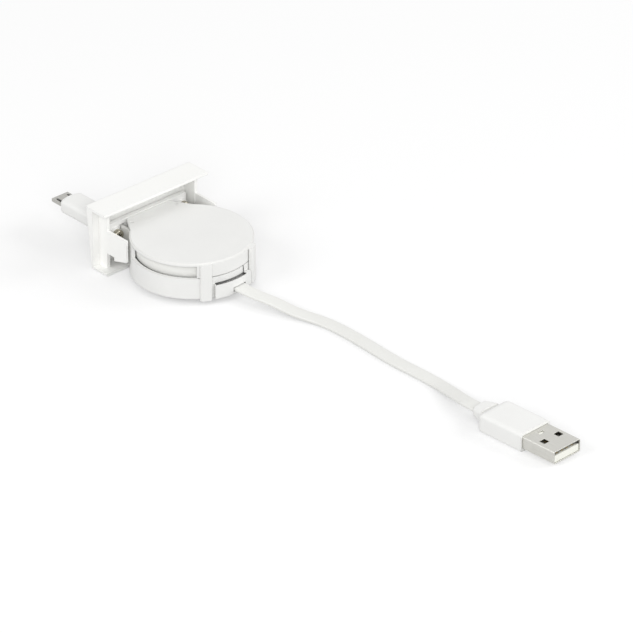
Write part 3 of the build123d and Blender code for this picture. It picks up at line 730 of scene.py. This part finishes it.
# Small plug's shell and latches: the shell is folded from thin stainless sheet, and two spring arms
# rise through its slots. Bare stainless steel looks a shade darker than the wide plug's plating.
small_shell_steel = rolled_metal(
    "folded_stainless_sheet",
    light="#C0BFBB",
    shade="#AFAEA9",
    streak_size=0.35 * mm,
    streak_depth=0.004 * mm,
    roughness=0.34,
    edge=0.1 * mm,
)
finish_node("plug_shell", small_shell_steel)
# The latches take the dark tempered spring steel: besides being the steel's own colour, its dark grey
# stands in as painted shade for the slots they rise through.
finish_node("plug_latches", spring_steel)

# Small plug's tongue and contacts: an insulator of white glass-filled plastic, a slightly creamy
# white, holds five stamped strips, which carry a thin layer of gold over nickel.
insulator = moulded_plastic(
    "white_filled_insulator",
    light="#F8F8F0",
    shade="#F1F1E8",
    mottle_size=4.0 * mm,
    grain_size=0.3 * mm,
    grain_depth=0.005 * mm,
    roughness=0.5,
    edge=0.1 * mm,
)

# The inside of a shell looks dark and brown from outside, so shade is painted onto the insulator's shut-in
# faces in there.
shell_reach = 3.0 * mm
shell_narrow = 0.12
shell_wide = 0.42
painted_shell_shade = "#2A241C"
in_shell = shut_in(insulator.node_tree, shell_reach, shell_narrow, shell_wide, only_local=False)
lay_painted_tone(insulator, in_shell, painted_shell_shade)
finish_node("plug_tongue", insulator)

# Gilded strip: a warm pale gold with the fine streaks of the rolled strip under it.
contact_gilt = rolled_metal(
    "gilded_contact_strip",
    light="#D9C79A",
    shade="#C2A96B",
    streak_size=0.3 * mm,
    streak_depth=0.002 * mm,
    roughness=0.3,
    edge=0.05 * mm,
)
finish_node("plug_contacts", contact_gilt)

# Fixed lead: a wider flat lead with the same soft jacket, moulded into the wide plug at one end.
# Its other end is gripped in the reel's outlet, and the stretch between lies loose on the table.
fixed_lead_width = 5.0 * mm
fixed_lead_route = [
    (-1.65, 36.757, 3.45),
    (-1.65, 43.157, 3.35),
    (-4.4, 50.957, 2.55),
    (-6.3, 59.957, 1.30),
    (-10.1, 69.957, 0.70),
    (-10.7, 80.957, 0.65),
    (-10.3, 92.457, 0.65),
    (-9.7, 103.957, 0.65),
    (-10.3, 115.457, 0.65),
    (-10.3, 123.957, 0.70),
    (-8.7, 131.557, 1.75),
    (-7.2, 137.857, 2.65),
    (-6.303, 142.794, 3.3),
    (-6.56, 147.387, 3.3),
]
fixed_line = smooth_line("fixed_lead_line", fixed_lead_route)
fixed_lead = flat_jacket("fixed_lead_jacket", fixed_line, fixed_lead_width, lead_thickness)
fixed_lead.data.materials.append(lead_jacket)
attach(fixed_lead, "case")
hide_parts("fixed_lead")

# Wide plug: a white soft PVC grip and strain relief over a folded nickel-plated shell with windows,
# and inside it an insulator with four gilded strips. The plating is a pale warm grey.
plated_shell = rolled_metal(
    "nickel_plated_sheet",
    light="#D6D5D0",
    shade="#C6C5BF",
    streak_size=0.35 * mm,
    streak_depth=0.004 * mm,
    roughness=0.34,
    edge=0.1 * mm,
)
finish_node("wide_plug_relief", overmould)
finish_node("wide_plug_body", overmould)
finish_node("wide_plug_shell", plated_shell)
finish_node("wide_plug_tongue", insulator)
finish_node("wide_plug_contacts", contact_gilt)

# Table and light: a white table top under an even sky of soft light, with one large soft lamp behind
# the viewer and weaker ones to the left and right. The table looks white, keeps part of the object's
# shadow, and throws some light back up at the object.
table_size = 6.0
table_glow = 0.35
table_bounce = "#C4C4C4"
pure_white = linear("#FFFFFF")


def seen_directly(tree):
    """1 for what the camera sees, also in a reflection or through glass, and 0 for other light."""
    rays = add_node(tree, "ShaderNodeLightPath")
    reflected = add_node(
        tree,
        "ShaderNodeMath",
        {0: rays.outputs["Is Camera Ray"], 1: rays.outputs["Is Glossy Ray"]},
        operation="MAXIMUM",
    )
    seen = add_node(
        tree,
        "ShaderNodeMath",
        {0: reflected.outputs["Value"], 1: rays.outputs["Is Transmission Ray"]},
        operation="MAXIMUM",
    )
    return seen.outputs["Value"]


bpy.ops.object.select_all(action="DESELECT")
bpy.ops.mesh.primitive_plane_add(size=table_size, location=(0, 0, 0))
table = bpy.context.active_object
table.name = "table_top"
table_white, tree = new_material("white_table")
lit = add_node(tree, "ShaderNodeBsdfDiffuse", {"Color": pure_white})
glow = add_node(tree, "ShaderNodeEmission", {"Color": pure_white, "Strength": 1.0})
shown = add_node(
    tree,
    "ShaderNodeMixShader",
    {0: table_glow, 1: lit.outputs["BSDF"], 2: glow.outputs["Emission"]},
)
bounce = add_node(tree, "ShaderNodeBsdfDiffuse", {"Color": linear(table_bounce)})
table_mix = add_node(
    tree,
    "ShaderNodeMixShader",
    {0: seen_directly(tree), 1: bounce.outputs["BSDF"], 2: shown.outputs["Shader"]},
)
add_node(tree, "ShaderNodeOutputMaterial", {"Surface": table_mix.outputs["Shader"]})
table.data.materials.append(table_white)

sky_strength = 0.53
sky = bpy.data.worlds.new("soft_sky")
sky.use_nodes = True
sky.node_tree.nodes.clear()
tree = sky.node_tree
sky_light = add_node(tree, "ShaderNodeBackground", {"Color": pure_white, "Strength": sky_strength})
sky_shown = add_node(tree, "ShaderNodeBackground", {"Color": pure_white, "Strength": 1.0})
sky_mix = add_node(
    tree,
    "ShaderNodeMixShader",
    {0: seen_directly(tree), 1: sky_light.outputs["Background"], 2: sky_shown.outputs["Background"]},
)
add_node(tree, "ShaderNodeOutputWorld", {"Surface": sky_mix.outputs["Shader"]})
bpy.context.scene.world = sky

lamp_aim = Vector((0.0, 0.07, 0.0))
lamp_distance = 2.2
lamp_size = 1.2
lamps = [
    {"name": "front_lamp", "bearing": 48.0, "elevation": 27.0, "power": 18.2},
    {"name": "left_lamp", "bearing": -12.0, "elevation": 35.0, "power": 12.0},
    {"name": "right_lamp", "bearing": 108.0, "elevation": 35.0, "power": 5.8},
    {"name": "far_right_lamp", "bearing": 146.0, "elevation": 30.0, "power": 13.8},
]
for row in lamps:
    bearing = radians(row["bearing"])
    elevation = radians(row["elevation"])
    away = Vector((cos(elevation) * cos(bearing), cos(elevation) * sin(bearing), sin(elevation)))
    lamp_data = bpy.data.lights.new(row["name"], "AREA")
    lamp_data.shape = "DISK"
    lamp_data.size = lamp_size
    lamp_data.energy = row["power"]
    lamp = bpy.data.objects.new(row["name"], lamp_data)
    lamp.location = lamp_aim + away * lamp_distance
    lamp.rotation_euler = away.to_track_quat("Z", "Y").to_euler()
    bpy.context.scene.collection.objects.link(lamp)
